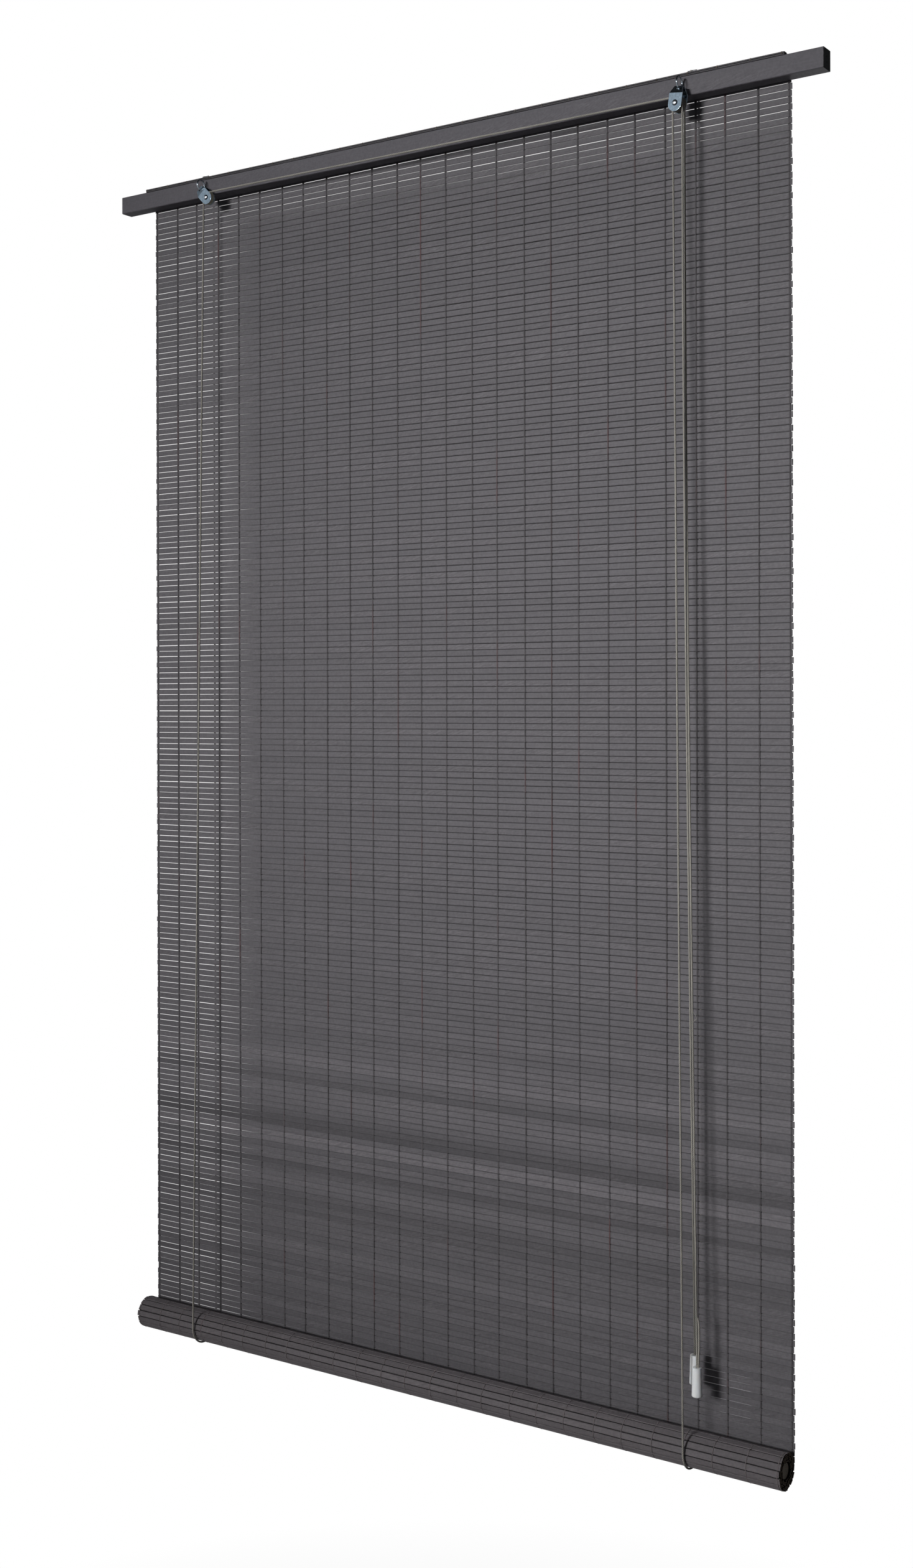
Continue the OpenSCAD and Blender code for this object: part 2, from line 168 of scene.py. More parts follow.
def loft_faces(rings, sides, flip=False):
    """Quads between rings of points, and a cap at both ends."""
    faces = []
    for a in range(0, (rings - 1) * sides, sides):
        b = a + sides
        for k in range(sides):
            n = (k + 1) % sides
            faces.append((a + k, b + k, b + n, a + n))
    faces.append(tuple(range(sides)))
    faces.append(tuple((rings - 1) * sides + k for k in reversed(range(sides))))
    return [tuple(reversed(face)) for face in faces] if flip else faces


def loft_points(xs, ys, zs):
    """Ring by ring, the points of an outline in Y and Z at each station along X."""
    return np.stack(np.broadcast_arrays(np.asarray(xs)[:, None], ys, zs), axis=2).reshape(-1, 3)


def resample(path, step):
    """Points about a step apart along a polyline, and their distance along it."""
    path = np.asarray(path, float)
    run = np.concatenate([[0], np.cumsum(np.linalg.norm(np.diff(path, axis=0), axis=1))])
    count = max(2, int(round(run[-1] / step)) + 1)
    s = np.linspace(0, run[-1], count)
    return np.stack([np.interp(s, run, path[:, k]) for k in range(3)], axis=1), s


def directions(points):
    """Unit directions along a path."""
    along = np.gradient(points, axis=0)
    return along / np.linalg.norm(along, axis=1)[:, None]


def tube_frames(points):
    """Two directions across a path at each point, carried along it without twist."""
    along = directions(points)
    start = np.array([1.0, 0, 0]) if abs(along[0][0]) < 0.8 else np.array([0, 1.0, 0])
    u = np.zeros_like(points)
    u[0] = start - along[0] * (start @ along[0])
    u[0] /= np.linalg.norm(u[0])
    for i in range(1, len(points)):
        v = u[i - 1] - along[i] * (u[i - 1] @ along[i])
        u[i] = v / np.linalg.norm(v)
    return u, np.cross(along, u)


def braid(path, radius, step=0.53, sides=8, lay=5.3, phase=0.0):
    """Points, faces and strand value of a braided cord: a lattice of beads with grooves between them, where
    the value paints shade.
    """
    points, s = resample(path, step)
    u, v = tube_frames(points)
    round_it = np.arange(sides) * 2 * math.pi / sides
    twist = 2 * math.pi * s[:, None] / lay + phase
    bead = np.abs(np.cos(2 * round_it + twist) * np.cos(2 * round_it - twist)) ** 0.7
    reach = radius * (1 - CORD_GROOVE + CORD_GROOVE * bead)
    across = np.cos(round_it)[None, :, None] * u[:, None, :] + np.sin(round_it)[None, :, None] * v[:, None, :]
    tube = points[:, None, :] + reach[:, :, None] * across
    return tube.reshape(-1, 3), loft_faces(len(points), sides), bead.reshape(-1)


def ribbon(path, width, thick):
    """Points and faces of a flat strand across X along a path, with a width and a thickness at each point."""
    path = np.asarray(path, float)
    side = np.array([1.0, 0, 0])
    up = np.cross(directions(path), side)
    up /= np.linalg.norm(up, axis=1)[:, None]
    half_w = np.broadcast_to(np.asarray(width, float) / 2, len(path))[:, None]
    half_t = np.broadcast_to(np.asarray(thick, float) / 2, len(path))[:, None]
    corners = [(-1, 0), (0, -1), (1, 0), (0, 1)]
    ring = np.stack([path + side * (cx * half_w) + up * (cy * half_t) for cx, cy in corners], axis=1)
    return ring.reshape(-1, 3), loft_faces(len(path), len(corners))


# Node helpers
def add(tree, kind, inputs=None, **props):
    """A node with its properties set and each input linked to a socket or set to a value."""
    node = tree.nodes.new(kind)
    for key, value in props.items():
        setattr(node, key, value)
    for key, value in (inputs or {}).items():
        if isinstance(value, bpy.types.NodeSocket):
            tree.links.new(value, node.inputs[key])
        else:
            node.inputs[key].default_value = value
    return node


def blank(name):
    """A material with nothing but its output."""
    material = bpy.data.materials.new(name)
    material.use_nodes = True
    tree = material.node_tree
    tree.nodes.clear()
    return material, tree, add(tree, "ShaderNodeOutputMaterial")


def principled(tree, out, inputs):
    """A surface shader with its inputs, on the material's output."""
    shader = add(tree, "ShaderNodeBsdfPrincipled", inputs)
    tree.links.new(shader.outputs[0], out.inputs["Surface"])


def grey(v):
    return (v, v, v)


def shaded(colour, share):
    return tuple(c * share for c in colour)


def maths(tree, operation, a, b=0.0):
    return add(tree, "ShaderNodeMath", {0: a, 1: b}, operation=operation).outputs[0]


def map_range(tree, value, start, end, low=0.0, high=1.0, kind="LINEAR"):
    """Value from start to end, taken to low to high."""
    return add(tree, "ShaderNodeMapRange", {"Value": value, "From Min": start, "From Max": end, "To Min": low,
                                            "To Max": high}, interpolation_type=kind).outputs[0]


def vector(tree, operation, a, b):
    return add(tree, "ShaderNodeVectorMath", {0: a, 1: b}, operation=operation).outputs[0]


def axis_of(tree, socket, axis):
    return add(tree, "ShaderNodeSeparateXYZ", {0: socket}).outputs[axis]


def place(tree):
    """The object's own coordinates."""
    return add(tree, "ShaderNodeTexCoord").outputs["Object"]


def noise(tree, scale, detail, offset=None, at=None, roughness=0.5):
    """Noise over the object's coordinates, or others, times a scale for each axis, plus an offset."""
    at = place(tree) if at is None else at
    at = vector(tree, "MULTIPLY", at, scale)
    if offset is not None:
        at = vector(tree, "ADD", at, offset)
    return add(tree, "ShaderNodeTexNoise", {"Vector": at, "Scale": 1.0, "Detail": detail,
                                            "Roughness": roughness}).outputs["Fac"]


def ramp(tree, fac, stops):
    """Colours at their places from 0 to 1, blended between."""
    node = add(tree, "ShaderNodeValToRGB", {"Fac": fac})
    while len(node.color_ramp.elements) < len(stops):
        node.color_ramp.elements.new(0.5)
    for element, (at, colour) in zip(node.color_ramp.elements, stops):
        element.position = at
        element.color = (*colour, 1)
    return node.outputs["Color"]


# Colour sockets of the Mix node, which share their names with its other kinds
MIX_A, MIX_B, MIX_OUT = 6, 7, 2


def mix(tree, fac, a, b, blend="MIX"):
    """Two colours blended by a factor."""
    node = add(tree, "ShaderNodeMix", {"Factor": fac}, data_type="RGBA", blend_type=blend)
    tree.links.new(a, node.inputs[MIX_A])
    tree.links.new(b, node.inputs[MIX_B])
    return node.outputs[MIX_OUT]


def multiply(tree, a, b, fac=1.0):
    return mix(tree, fac, a, b, "MULTIPLY")


def bump(tree, height, strength, distance, normal=None):
    inputs = {"Height": height, "Strength": strength, "Distance": distance}
    if normal is not None:
        inputs["Normal"] = normal
    return add(tree, "ShaderNodeBump", inputs).outputs[0]


def rounded(tree, radius):
    """A normal that rounds the edges."""
    return add(tree, "ShaderNodeBevel", {"Radius": radius}, samples=4).outputs[0]


# Materials
def painted_wood(name, base, end, gloss, toned=True):
    """Thin grey paint on wood: grain along X, oblique rays in patches, pores and sawn ends.

    A toned one also takes a tone and a place in the grain from each slat.
    """
    m, t, out = blank(name)
    offset = None
    if toned:
        tone = add(t, "ShaderNodeAttribute", attribute_name="tone").outputs["Fac"]
        seed = add(t, "ShaderNodeAttribute", attribute_name="seed").outputs["Fac"]
        offset = add(t, "ShaderNodeCombineXYZ", {"X": seed, "Y": 0.0, "Z": seed}).outputs[0]
    fine = noise(t, (9, 700, 700), 4.0, offset, roughness=0.65)
    pores = noise(t, (22, 1500, 1500), 2.0, offset)
    patch = noise(t, (7, 60, 60), 2.0, offset)
    mottle = noise(t, (330, 330, 330), 3.0, offset)
    turned = add(t, "ShaderNodeVectorRotate", {"Vector": place(t), "Axis": (0, 1, 0), "Angle": 0.32},
                 rotation_type="AXIS_ANGLE").outputs[0]
    rays = noise(t, (70, 70, 900), 2.0, offset, turned)
    colour = ramp(t, fine, [(0.25, shaded(base, 0.88)), (0.55, base), (0.8, shaded(base, 1.13))])
    colour = multiply(t, colour, ramp(t, pores, [(0.28, grey(0.72)), (0.4, grey(1.0))]), 0.6)
    colour = multiply(t, colour, ramp(t, mottle, [(0.3, grey(0.90)), (0.7, grey(1.10))]))
    in_patch = ramp(t, patch, [(0.48, grey(0)), (0.62, grey(1))])
    ray_shade = ramp(t, rays, [(0.34, grey(0.85)), (0.5, grey(1.0)), (0.68, grey(1.18))])
    colour = multiply(t, colour, ray_shade, in_patch)
    colour = multiply(t, colour, ramp(t, patch, [(0.25, grey(0.96)), (0.75, (1.05, 1.04, 1.03))]))
    if toned:
        # A tone of 0 is near-black painted shade, for the roll's inner turns; tones also carry painted light
        # and shade of the mat's waves, and vary at random.
        colour = multiply(t, colour, ramp(t, tone, [(0.0, grey(0.08)), (0.1, grey(0.6)), (0.5, grey(1.0)),
                                                    (1.0, (1.5, 1.49, 1.48))]))
    sideways = axis_of(t, add(t, "ShaderNodeNewGeometry").outputs["True Normal"], "X")
    sawn = map_range(t, maths(t, "ABSOLUTE", sideways), 0.8, 0.95)
    end_grain = ramp(t, fine, [(0.3, shaded(end, 0.5)), (0.7, shaded(end, 1.7))])
    height = maths(t, "ADD", maths(t, "ADD", fine, pores), rays)
    principled(t, out, {"Base Color": mix(t, sawn, colour, end_grain),
                        "Roughness": map_range(t, fine, 0.0, 1.0, 0.52, 0.7),
                        "Normal": bump(t, height, 0.22, 0.0003),
                        "Specular IOR Level": map_range(t, sawn, 0.0, 1.0, gloss, gloss * 0.15)})
    return m


def spun(name, base, light, scale=3000.0, fuzz=0.1, wear_and_rim_shade=(1.12, 1.12, 1.12)):
    """Spun fibre: a strand value from the mesh, which paints shade in cord grooves and thread knots and gives
    other threads a tone, fine fibres, lengths tinted by wear and a soft sheen.
    """
    m, t, out = blank(name)
    strand = add(t, "ShaderNodeAttribute", attribute_name="strand").outputs["Fac"]
    fibre = noise(t, (scale, scale, scale * 0.35), 3.0)
    broad = noise(t, (20, 20, 9), 2.0)
    colour = ramp(t, strand, [(0.1, base), (0.75, light)])
    colour = multiply(t, colour, ramp(t, fibre, [(0.3, grey(0.7)), (0.7, grey(1.25))]))
    colour = multiply(t, colour, ramp(t, broad, [(0.3, grey(0.88)), (0.6, grey(1.06)), (0.72, wear_and_rim_shade)]))
    principled(t, out, {"Base Color": colour, "Roughness": 0.85, "Normal": bump(t, fibre, 0.4, 0.0002),
                        "Specular IOR Level": 0.2, "Sheen Weight": fuzz, "Sheen Roughness": 0.5})
    return m


def zinc(name, base, smooth, dull):
    """Zinc plate: soft spangle, fine rolling lines, dull patches and rounded bright edges."""
    m, t, out = blank(name)
    cells = vector(t, "MULTIPLY", place(t), (420, 420, 420))
    spangle = add(t, "ShaderNodeTexVoronoi", {"Vector": cells, "Scale": 1.0}).outputs["Color"]
    spangle = add(t, "ShaderNodeRGBToBW", {"Color": spangle}).outputs[0]
    haze = noise(t, (240, 240, 240), 4.0)
    lines = noise(t, (1800, 300, 220), 3.0)
    colour = ramp(t, spangle, [(0.1, shaded(base, 0.9)), (0.9, shaded(base, 1.07))])
    colour = multiply(t, colour, ramp(t, haze, [(0.3, grey(0.84)), (0.7, grey(1.06))]))
    principled(t, out, {"Base Color": colour, "Metallic": 1.0,
                        "Roughness": map_range(t, haze, 0.3, 0.7, dull, smooth),
                        "Normal": bump(t, lines, 0.1, 0.0002, rounded(t, 0.0004))})
    return m


def rivet(name, base, rim_shade):
    """Polished rivet: bright on the crown, painted dark where the dome turns away towards its rim, as a
    painted reflection of dark surroundings.
    """
    m, t, out = blank(name)
    facing = maths(t, "ABSOLUTE", axis_of(t, add(t, "ShaderNodeNewGeometry").outputs["Normal"], "Y"))
    haze = noise(t, (900, 900, 900), 4.0)
    wear_and_rim_shade = maths(t, "ADD", facing, maths(t, "MULTIPLY", haze, 0.08))
    principled(t, out, {"Base Color": ramp(t, wear_and_rim_shade, [(0.86, rim_shade), (0.99, base)]), "Metallic": 1.0,
                        "Roughness": map_range(t, haze, 0.0, 1.0, 0.1, 0.3)})
    return m


def moulded(name, base, rough, subsurface, wear):
    """Moulded plastic: a faint flow mottle, fine scuffs and light in its depth."""
    m, t, out = blank(name)
    flow = noise(t, (90, 90, 40), 3.0)
    scuff = noise(t, (900, 900, 200), 4.0)
    colour = ramp(t, flow, [(0.3, shaded(base, 0.94)), (0.7, base)])
    colour = multiply(t, colour, ramp(t, scuff, [(0.25, wear), (0.42, grey(1.0))]))
    principled(t, out, {"Base Color": colour,
                        "Roughness": map_range(t, scuff, 0.0, 1.0, rough - 0.08, rough + 0.14),
                        "Normal": bump(t, scuff, 0.08, 0.0002, rounded(t, 0.0003)),
                        "Subsurface Weight": subsurface, "Subsurface Scale": 0.012 * subsurface,
                        "Subsurface Radius": (1.0, 0.9, 0.8)})
    return m


def raw_rod(name, dark, light):
    """Bare rod: grain along X, growth rings round an off-centre pith on the sawn ends."""
    m, t, out = blank(name)
    pith = (0, ROLL_Y * MM - 0.003, ROLL_Z * MM + 0.002)
    flat = vector(t, "MULTIPLY", vector(t, "SUBTRACT", place(t), pith), (0, 1, 1))
    away = add(t, "ShaderNodeVectorMath", {0: flat}, operation="LENGTH").outputs["Value"]
    rings = maths(t, "SINE", maths(t, "MULTIPLY", away, 3200.0))
    grain = noise(t, (12, 900, 900), 4.0)
    colour = ramp(t, grain, [(0.3, dark), (0.7, light)])
    colour = multiply(t, colour, ramp(t, rings, [(0.0, grey(0.7)), (0.9, grey(1.15))]))
    principled(t, out, {"Base Color": colour, "Roughness": 0.75, "Normal": bump(t, grain, 0.3, 0.0003)})
    return m


slat_mat = painted_wood("painted_slats", (0.111, 0.105, 0.115), end=(0.020, 0.016, 0.014), gloss=0.28)
# Rolled slats: a lighter, warmer copy of the slat paint with less gloss, painted light for the roll's lit
# front.
roll_mat = painted_wood("painted_slats_rolled", (0.156, 0.143, 0.152), end=(0.135, 0.104, 0.080), gloss=0.15)
rail_mat = painted_wood("painted_rail", (0.104, 0.098, 0.111), end=(0.013, 0.0115, 0.011), gloss=0.28,
                        toned=False)
# Hanging threads: near black at a strand value of 0, painted shade on the knots in the gaps.
thread_mat = spun("weaving_thread", (0.010, 0.0085, 0.0085), (0.098, 0.092, 0.098), wear_and_rim_shade=(1.3, 0.92, 0.9))
ring_mat = spun("weaving_thread_outside", (0.03, 0.026, 0.026), (0.185, 0.16, 0.165), wear_and_rim_shade=(1.15, 1.0, 0.98))
knot_mat = spun("bare_thread", (0.05, 0.04, 0.034), (0.20, 0.165, 0.135), fuzz=0.2)
# Cord: the dark base is painted shade in the grooves between the braid's beads.
cord_mat = spun("braided_cord", (0.022, 0.021, 0.019), (0.42, 0.40, 0.36), scale=2600.0, fuzz=0.15)
plate_mat = zinc("zinc_plate", (0.46, 0.55, 0.62), smooth=0.07, dull=0.14)
wire_mat = zinc("zinc_wire", (0.44, 0.48, 0.52), smooth=0.08, dull=0.16)
steel_mat = zinc("dark_wire", (0.10, 0.10, 0.105), smooth=0.35, dull=0.55)
# Rivets: bright crowns, with rims painted dark as a reflection of dark surroundings.
rivet_mat = rivet("rivet", (0.72, 0.75, 0.78), rim_shade=(0.035, 0.04, 0.045))
wheel_mat = moulded("nylon", (0.76, 0.72, 0.60), rough=0.42, subsurface=0.25, wear=(0.8, 0.78, 0.72))
# Right wheels: the nylon darkened as painted shade, for wheels in the shadow of their straps.
shaded_wheel_mat = moulded("nylon_painted_shade", (0.16, 0.15, 0.13), rough=0.5, subsurface=0.05, wear=(0.7, 0.68, 0.62))
tassel_mat = moulded("white_plastic", (0.965, 0.98, 0.99), rough=0.34, subsurface=0.3, wear=grey(0.97))
rod_mat = raw_rod("bare_rod", dark=(0.07, 0.056, 0.042), light=(0.24, 0.19, 0.14))


def dress(material, slot, *names):
    """Gives CAD nodes a material; the slot's name is not used."""
    for name in names:
        obj = nodes[name]
        obj.data.materials.clear()
        obj.data.materials.append(material)


dress(rail_mat, "painted_slat", "headrail")
dress(rod_mat, "raw_rod", "bottom_rod")
dress(plate_mat, "zinc_steel", "strap_left", "strap_right")
dress(rivet_mat, "zinc_steel", "axle_left", "axle_right")
dress(wire_mat, "zinc_steel", "screw_eyes")
dress(steel_mat, "zinc_steel", "top_staples", "cord_staples")
dress(wheel_mat, "nylon_wheel", "wheel_left")
# The right wheels take the nylon darkened as painted shade.
dress(shaded_wheel_mat, "nylon_wheel", "wheel_right_front", "wheel_right_rear")
dress(tassel_mat, "tassel_plastic", "tassel_left", "tassel_right")


# Cords
def shorten(obj):
    """Gives the piece a mesh of its own."""
    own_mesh(obj)


def wheel_point(centre, degrees, side=0.0):
    """A point of the cord's path in a wheel's groove."""
    a = math.radians(degrees)
    return (centre[0] + WHEEL_PATH * math.cos(a), centre[1] + side, centre[2] + WHEEL_PATH * math.sin(a))


def cord_piece(name, paths, body):
    """Lengths of braided cord as one piece."""
    cord = Bundle()
    for i, path in enumerate(paths):
        points, faces, strand = braid(path, CORD_R, phase=0.7 * i)
        cord.add(points, faces, strand=strand)
    return cord.piece(name, cord_mat, body)


def pull_route(side, sway, length):
    """The free cord from its wheel to the knot in its tassel."""
    x, y, z = wheel_point(WHEEL_RIGHT, 0, side * WHEEL_SIDE)
    route = []
    for i in range(PULL_STEPS + 1):
        t = i / PULL_STEPS
        lean = t * t * (1.6 - 0.6 * t)
        route.append((x + sway[0] * lean, y + sway[1] * lean, z - length * t))
    route.append((x + sway[0], y + sway[1], z - length - IN_TASSEL))
    return route


def knot(end, size=0.9, rise=2.6):
    """A trefoil of cord pulled tight, just above the cord's end."""
    t = np.linspace(0, 2 * math.pi, 60)
    path = np.stack([np.sin(t) + 2 * np.sin(2 * t), np.cos(t) - 2 * np.cos(2 * t), -np.sin(3 * t)], axis=1)
    squeeze = np.array([0.5, 0.5, 1.1])
    path = path * squeeze * size + np.array(end) + np.array([0, 0, rise])
    return braid(path, CORD_R * 0.8, step=0.6)


def pull_cord(hand, extra=()):
    """A free cord with its knot."""
    side = PULL[hand][0]
    route = pull_route(*PULL[hand])
    cord = Bundle()
    for points, faces, strand in (braid(route, CORD_R, phase=side), knot(route[-1])):
        cord.add(points, faces, strand=strand)
    name = "pull_cord_" + hand
    obj = cord.piece(name + "_braid", cord_mat, "hanger")
    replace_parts(obj, name)


def tassel_tail():
    """The doubled end of the right cord, above its tassel."""
    top = np.array(pull_route(*PULL["right"])[-2])
    return cord_piece("cord_tail_right", [[top + offset for offset in TAIL]], "hanger")


def loose_fibre():
    """A wisp that stands off the right cord."""
    wisp = Bundle()
    points, faces, _ = braid(FIBRE, FIBRE_R, step=0.4, sides=6)
    wisp.add(points, faces, strand=1.0)
    return wisp.piece("cord_fibre", cord_mat, "hanger")


def over_fold(x):
    """The rear end of a lift cord, bent over the folded end of the mat."""
    bend = [math.radians(a) for a in range(0, 91, 15)]
    path = [(x, REAR_Y - CORD_BEND + CORD_BEND * math.cos(a), BEND_Z + CORD_BEND * math.sin(a)) for a in bend]
    return path + [(x, FOLD_FRONT + SLAT / 2, CORD_TOP)]


def over_wheels():
    """The lengths that stay on the wheels and over the fold."""
    left = [wheel_point(WHEEL_LEFT, a) for a in range(180, 89, -9)]
    left += [wheel_point(WHEEL_RIGHT, a, -WHEEL_SIDE) for a in range(90, -1, -9)]
    right = [wheel_point(WHEEL_RIGHT, a, WHEEL_SIDE) for a in range(180, -1, -9)]
    cord_piece("cord_over_left", [left, over_fold(SLING_X[0])], "hanger")
    cord_piece("cord_over_right", [right, over_fold(SLING_X[1])], "hanger")


def lift_length(name, low, high):
    """A straight length of cord."""
    obj = cord_piece(name, [[low, high]], "hanger")
    shorten(obj)
    return obj


def lift_cord(hand, x, wheel, side):
    """A lift cord's front and rear lengths."""
    front = lift_length("cord_front_" + hand, (x, FRONT_Y, ROLL_Z), wheel_point(wheel, 180, side))
    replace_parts(front, "lift_cord_" + hand)
    lift_length("cord_rear_" + hand, (x, REAR_Y, ROLL_Z), (x, REAR_Y, BEND_Z))


def sling_point(x, degrees):
    """The loop lies tighter on the roll below than where it leaves it."""
    a = math.radians(degrees)
    reach = SLING_R - SLING_TIGHT * abs(math.sin(a))
    return x, ROLL_Y + reach * math.cos(a), ROLL_Z + reach * math.sin(a)


pull_cord("left")
tail = tassel_tail()
pull_cord("right", [tail, loose_fibre()])
over_wheels()
lift_cord("left", SLING_X[0], WHEEL_LEFT, 0.0)
lift_cord("right", SLING_X[1], WHEEL_RIGHT, WHEEL_SIDE)
loops = [[sling_point(x, a) for a in range(0, -181, -5)] for x in SLING_X]
slings = cord_piece("cord_loops", loops, "slings")
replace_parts(slings, "cord_slings")

# Slats: stations along them, bevels, and how far each one differs from the next
STATIONS = np.linspace(-1, 1, 15)
SIDES = 8
SEEDS = 400
CIRCLE = 6.28
HUNG_BEVEL, BEVEL = 0.42, 0.35
WIDTH_SPREAD, TILT_SPREAD, SHIFT_SPREAD = 0.12, 0.8, 0.15
LOOSE_ROW, LOOSE_SPREAD, TONE_SPREAD = 145, 0.055, 0.02
TONE_LIMITS, FOLD_TONES = (0.12, 0.98), (0.12, 0.25)
ROLL_TONE, ROLL_TONE_SPREAD = 0.47, 0.04
ROLL_HOLLOW = 0.45


def section(width, bevel):
    """A bevelled slat section, across by width, starting low."""
    t, w = THICK / 2, width / 2
    return np.array([(-t + bevel, -w), (t - bevel, -w), (t, -w + bevel), (t, w - bevel),
                     (t - bevel, w), (-t + bevel, w), (-t, w - bevel), (-t, -w + bevel)])


def bell(rows, middle, reach):
    return np.exp(-((rows - middle) / reach) ** 2)


def wave(height, pace, phase):
    """A gentle bow along the stations."""
    return height * np.sin(pace * STATIONS + phase)


def row_tones(rows):
    """Tones that drift over a few slats, and stripes low on the mat: painted light and shade of the mat's
    waves there.
    """
    raw = np.convolve(rng.normal(size=COUNT + 3), np.ones(4) / 2, mode="valid")[:COUNT]
    drift = raw * (0.010 + 0.030 * bell(rows, 163, 26))
    stripes = bell(rows, 166, 13) * (np.sin(rows * 0.86) + 0.6 * np.sin(rows * 1.53 + 1)) * 0.22
    stripes += bell(rows, 188, 13) * np.sin(rows * 1.2 + 2) * 0.07
    return drift + stripes


def hung_slats():
    """The hanging slats, each with a width, tilt, bow, tone and grain of its own."""
    mat = Bundle()
    rows = np.arange(COUNT)
    group = row_tones(rows)
    loose = np.where(rows > LOOSE_ROW, LOOSE_SPREAD, TONE_SPREAD)
    for i in rows:
        shape = section(SLAT + rng.uniform(-WIDTH_SPREAD, WIDTH_SPREAD), HUNG_BEVEL)
        tilt = math.radians(rng.normal() * TILT_SPREAD)
        shape = shape @ np.array([[math.cos(tilt), -math.sin(tilt)], [math.sin(tilt), math.cos(tilt)]])
        shift = STAGGER * math.sin(STAGGER_TURN * i) + rng.normal() * SHIFT_SPREAD
        phase = rng.uniform(0, CIRCLE, 4)
        tone = 0.5 + group[i] + rng.normal() * loose[i]
        bow_y = wave(0.10, 2.2, phase[0]) + wave(0.06, 7, phase[1])
        bow_z = wave(0.12, 1.9, phase[2]) + wave(0.05, 6, phase[3])
        points = loft_points(STATIONS * MAT_W / 2 + shift, shape[:, 0] + MIDDLE + bow_y[:, None],
                             shape[:, 1] + TOP - i * PITCH - SLAT / 2 + bow_z[:, None])
        tones = np.clip(tone * (1 + wave(0.05, 2.6, phase[1])), *TONE_LIMITS)
        mat.add(points, loft_faces(len(STATIONS), SIDES), tone=np.repeat(tones, SIDES),
                seed=rng.uniform(0, SEEDS))
    obj = mat.piece("slats_hung", slat_mat, "hanger", smooth=False)
    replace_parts(obj, "hanging_slats")
    shorten(obj)


def folded_slats():
    """The doubled end of the mat on the headrail."""
    fold = Bundle()
    shape = section(SLAT - 0.1, BEVEL)
    for layer, (count, low) in enumerate(zip(FOLD_COUNTS, (FOLD_LOW, FOLD_HIGH))):
        for i in range(count):
            shift = STAGGER * math.cos(STAGGER_TURN * (i + FOLD_COUNTS[0] * layer))
            phase = rng.uniform(0, CIRCLE, 2)
            bow = wave(0.08, 5, phase[0])
            points = loft_points(STATIONS * MAT_W / 2 + shift,
                                 -shape[:, 1] + FOLD_FRONT + i * PITCH + SLAT / 2 + bow[:, None],
                                 shape[:, 0] + low + THICK / 2)
            fold.add(points, loft_faces(len(STATIONS), SIDES, flip=True), tone=rng.uniform(*FOLD_TONES),
                     seed=rng.uniform(0, SEEDS))
    obj = fold.piece("slats_folded", slat_mat, "hanger", smooth=False)
    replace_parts(obj, "top_slats")


def spiral_radius(w):
    """Radius of the rolled mat's inner face after an angle from the rod."""
    return SPIRAL_START + TURN * w / (2 * math.pi)


def spiral_angle(s):
    """Angle from the rod after a length of rolled mat."""
    return (math.sqrt(SPIRAL_START ** 2 + TURN * s / math.pi) - SPIRAL_START) * 2 * math.pi / TURN


def on_roll(s, lift):
    """Y and Z of a point at a length along the rolled mat and a height over its inner face."""
    w = spiral_angle(s)
    a = w - SPIRAL_END + LEAVE
    r = spiral_radius(w) + lift
    return ROLL_Y + r * math.cos(a), ROLL_Z + r * math.sin(a)


def rolled_outline(i):
    """Section of a rolled slat: flat in the outermost turn, curved further in."""
    s0 = ROLL_FIRST + i * PITCH
    mid, end = s0 + SLAT / 2, s0 + SLAT
    low = ROLL_HOLLOW
    corners = [(s0 + BEVEL, low), (mid, low), (end - BEVEL, low), (end, low + BEVEL), (end, THICK - BEVEL),
               (end - BEVEL, THICK)]
    if i < OUTER_FIRST:
        corners.append((mid, THICK))
    corners += [(s0 + BEVEL, THICK), (s0, THICK - BEVEL), (s0, low + BEVEL)]
    near = spiral_radius(spiral_angle(mid)) * 0.96
    return np.array([on_roll(mid + (s - mid) * near / (near + lift), lift) for s, lift in corners])


def rolled_slats():
    """The slats in the roll: the outermost turn painted as the mat, the inner ones painted near black as
    shade inside the roll.
    """
    roll = Bundle()
    for i in range(ROLL_COUNT):
        outline = rolled_outline(i)
        shift = STAGGER * math.sin(STAGGER_TURN * (COUNT + ROLL_COUNT - i))
        stations = STATIONS if i >= OUTER_FIRST - 2 else STATIONS[[0, -1]]
        # Inner turns take a tone of 0: near-black painted shade inside the roll.
        tone = ROLL_TONE + rng.normal() * ROLL_TONE_SPREAD if i >= OUTER_FIRST else 0.0
        roll.add(loft_points(stations * MAT_W / 2 + shift, outline[:, 0], outline[:, 1]),
                 loft_faces(len(stations), len(outline), flip=True), tone=tone, seed=rng.uniform(0, SEEDS))
    obj = roll.piece("slats_rolled", roll_mat, "roll", smooth=False)
    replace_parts(obj, "mat_roll")


hung_slats()
folded_slats()
rolled_slats()

# Threads: two strands in each column, which change faces at every gap
STRANDS = (0, 1)
THREAD_W, THREAD_T = 2.2, 0.34
OFF_FACE = THREAD_T / 2
BESIDE, EDGE_INSET = 0.25, 0.25
KNOT_WIDTHS, KNOT_T, KNOT_IN = (3.2, 4.2), 1.5, 0.5
HUNG_SHADES = (0.54, 0.76)
ROLL_OVER, ROLL_UNDER, ROLL_INSET = 0.15, 0.12, 0.3
FOLD_BESIDE, FOLD_INSET = 0.35, 0.4


